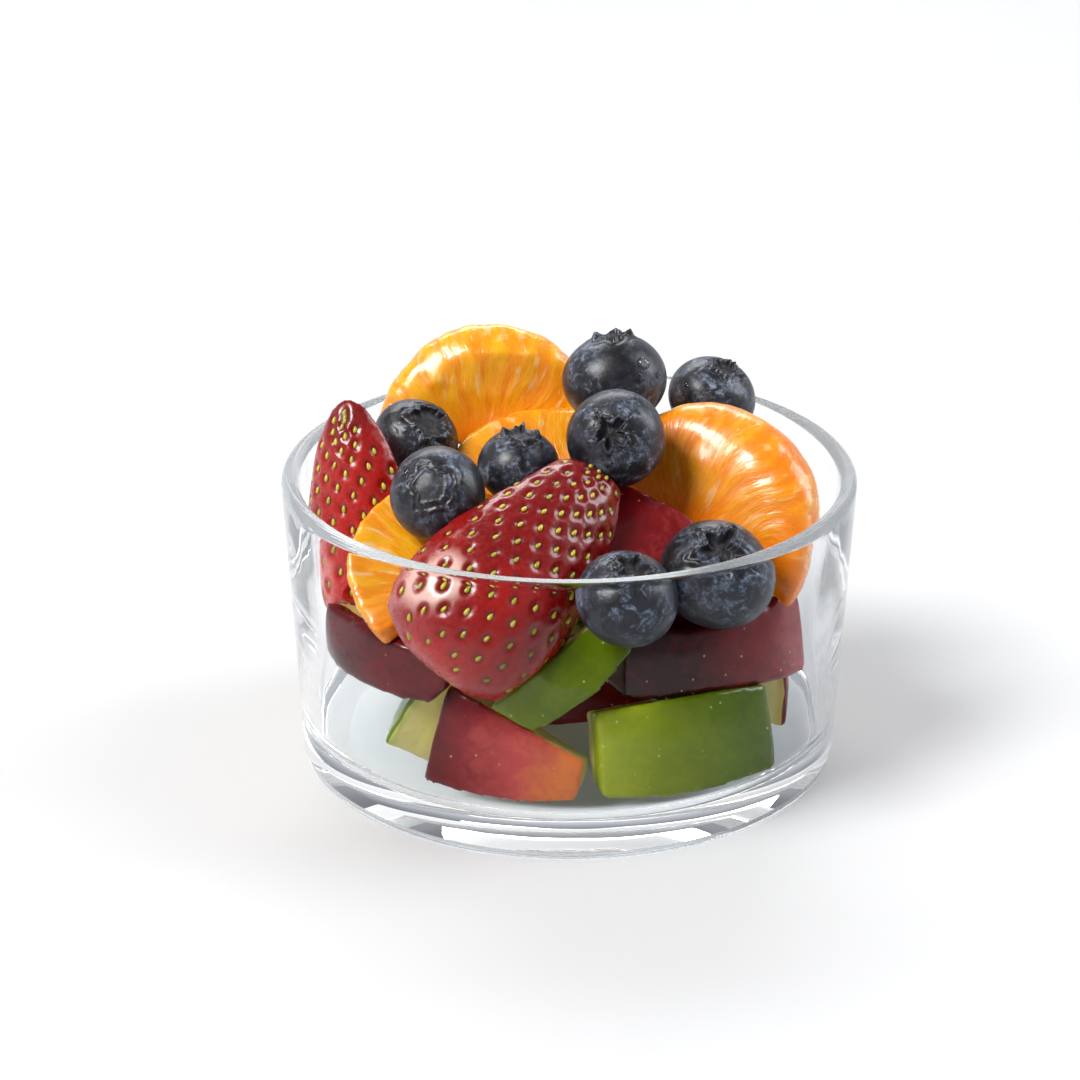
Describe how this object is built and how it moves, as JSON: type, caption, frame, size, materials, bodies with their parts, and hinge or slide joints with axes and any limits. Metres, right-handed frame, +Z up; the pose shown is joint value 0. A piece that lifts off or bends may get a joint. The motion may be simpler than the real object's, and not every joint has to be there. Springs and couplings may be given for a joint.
{
  "type": "fruit cup",
  "caption": "Clear low glass cup heaped with blueberries, mandarin segments, strawberry halves and chunks of red and green apple.",
  "frame": {"origin": "centre of the cup's foot, on the surface that it stands on", "axes": "+Z up along the cup's axis; the shown side of the heap looks towards -Y"},
  "size_m": [0.092, 0.092, 0.0677],
  "materials": {
    "glass": "clear pressed glass, fire-polished rim",
    "blueberry": "dark blue skin with a pale dusty bloom",
    "mandarin": "juicy orange membrane with fine radial veins, moist",
    "strawberry": "glossy red skin with sunken yellow seeds",
    "apple_red": "dark red waxy skin with pale dots, pale flesh on the cut sides",
    "apple_green": "green waxy skin with faint pale dots, pale flesh on the cut sides"
  },
  "bodies": {
    "root": {"apple_green_core": "apple_green", "apple_green_front": "apple_green", "apple_green_high": "apple_green", "apple_green_left": "apple_green", "apple_green_low": "apple_green", "apple_green_rear": "apple_green", "apple_green_rear_right": "apple_green", "apple_green_right": "apple_green", "apple_green_side": "apple_green", "apple_red_back": "apple_red", "apple_red_core": "apple_red", "apple_red_deep": "apple_red", "apple_red_front": "apple_red", "apple_red_left": "apple_red", "apple_red_low": "apple_red", "apple_red_middle": "apple_red", "apple_red_middle_low": "apple_red", "apple_red_rear": "apple_red", "apple_red_rear_left": "apple_red", "apple_red_right": "apple_red", "apple_red_right_low": "apple_red", "apple_red_side": "apple_red", "blueberry_back_left": "blueberry", "blueberry_back_right": "blueberry", "blueberry_front": "blueberry", "blueberry_left": "blueberry", "blueberry_middle": "blueberry", "blueberry_rear": "blueberry", "blueberry_rear_left": "blueberry", "blueberry_rear_right": "blueberry", "blueberry_right": "blueberry", "blueberry_small": "blueberry", "blueberry_top": "blueberry", "cup": "glass", "mandarin_back": "mandarin", "mandarin_left": "mandarin", "mandarin_rear": "mandarin", "mandarin_right": "mandarin", "mandarin_under": "mandarin", "strawberry_front": "strawberry", "strawberry_left": "strawberry", "strawberry_rear": "strawberry"}
  },
  "joints": []
}
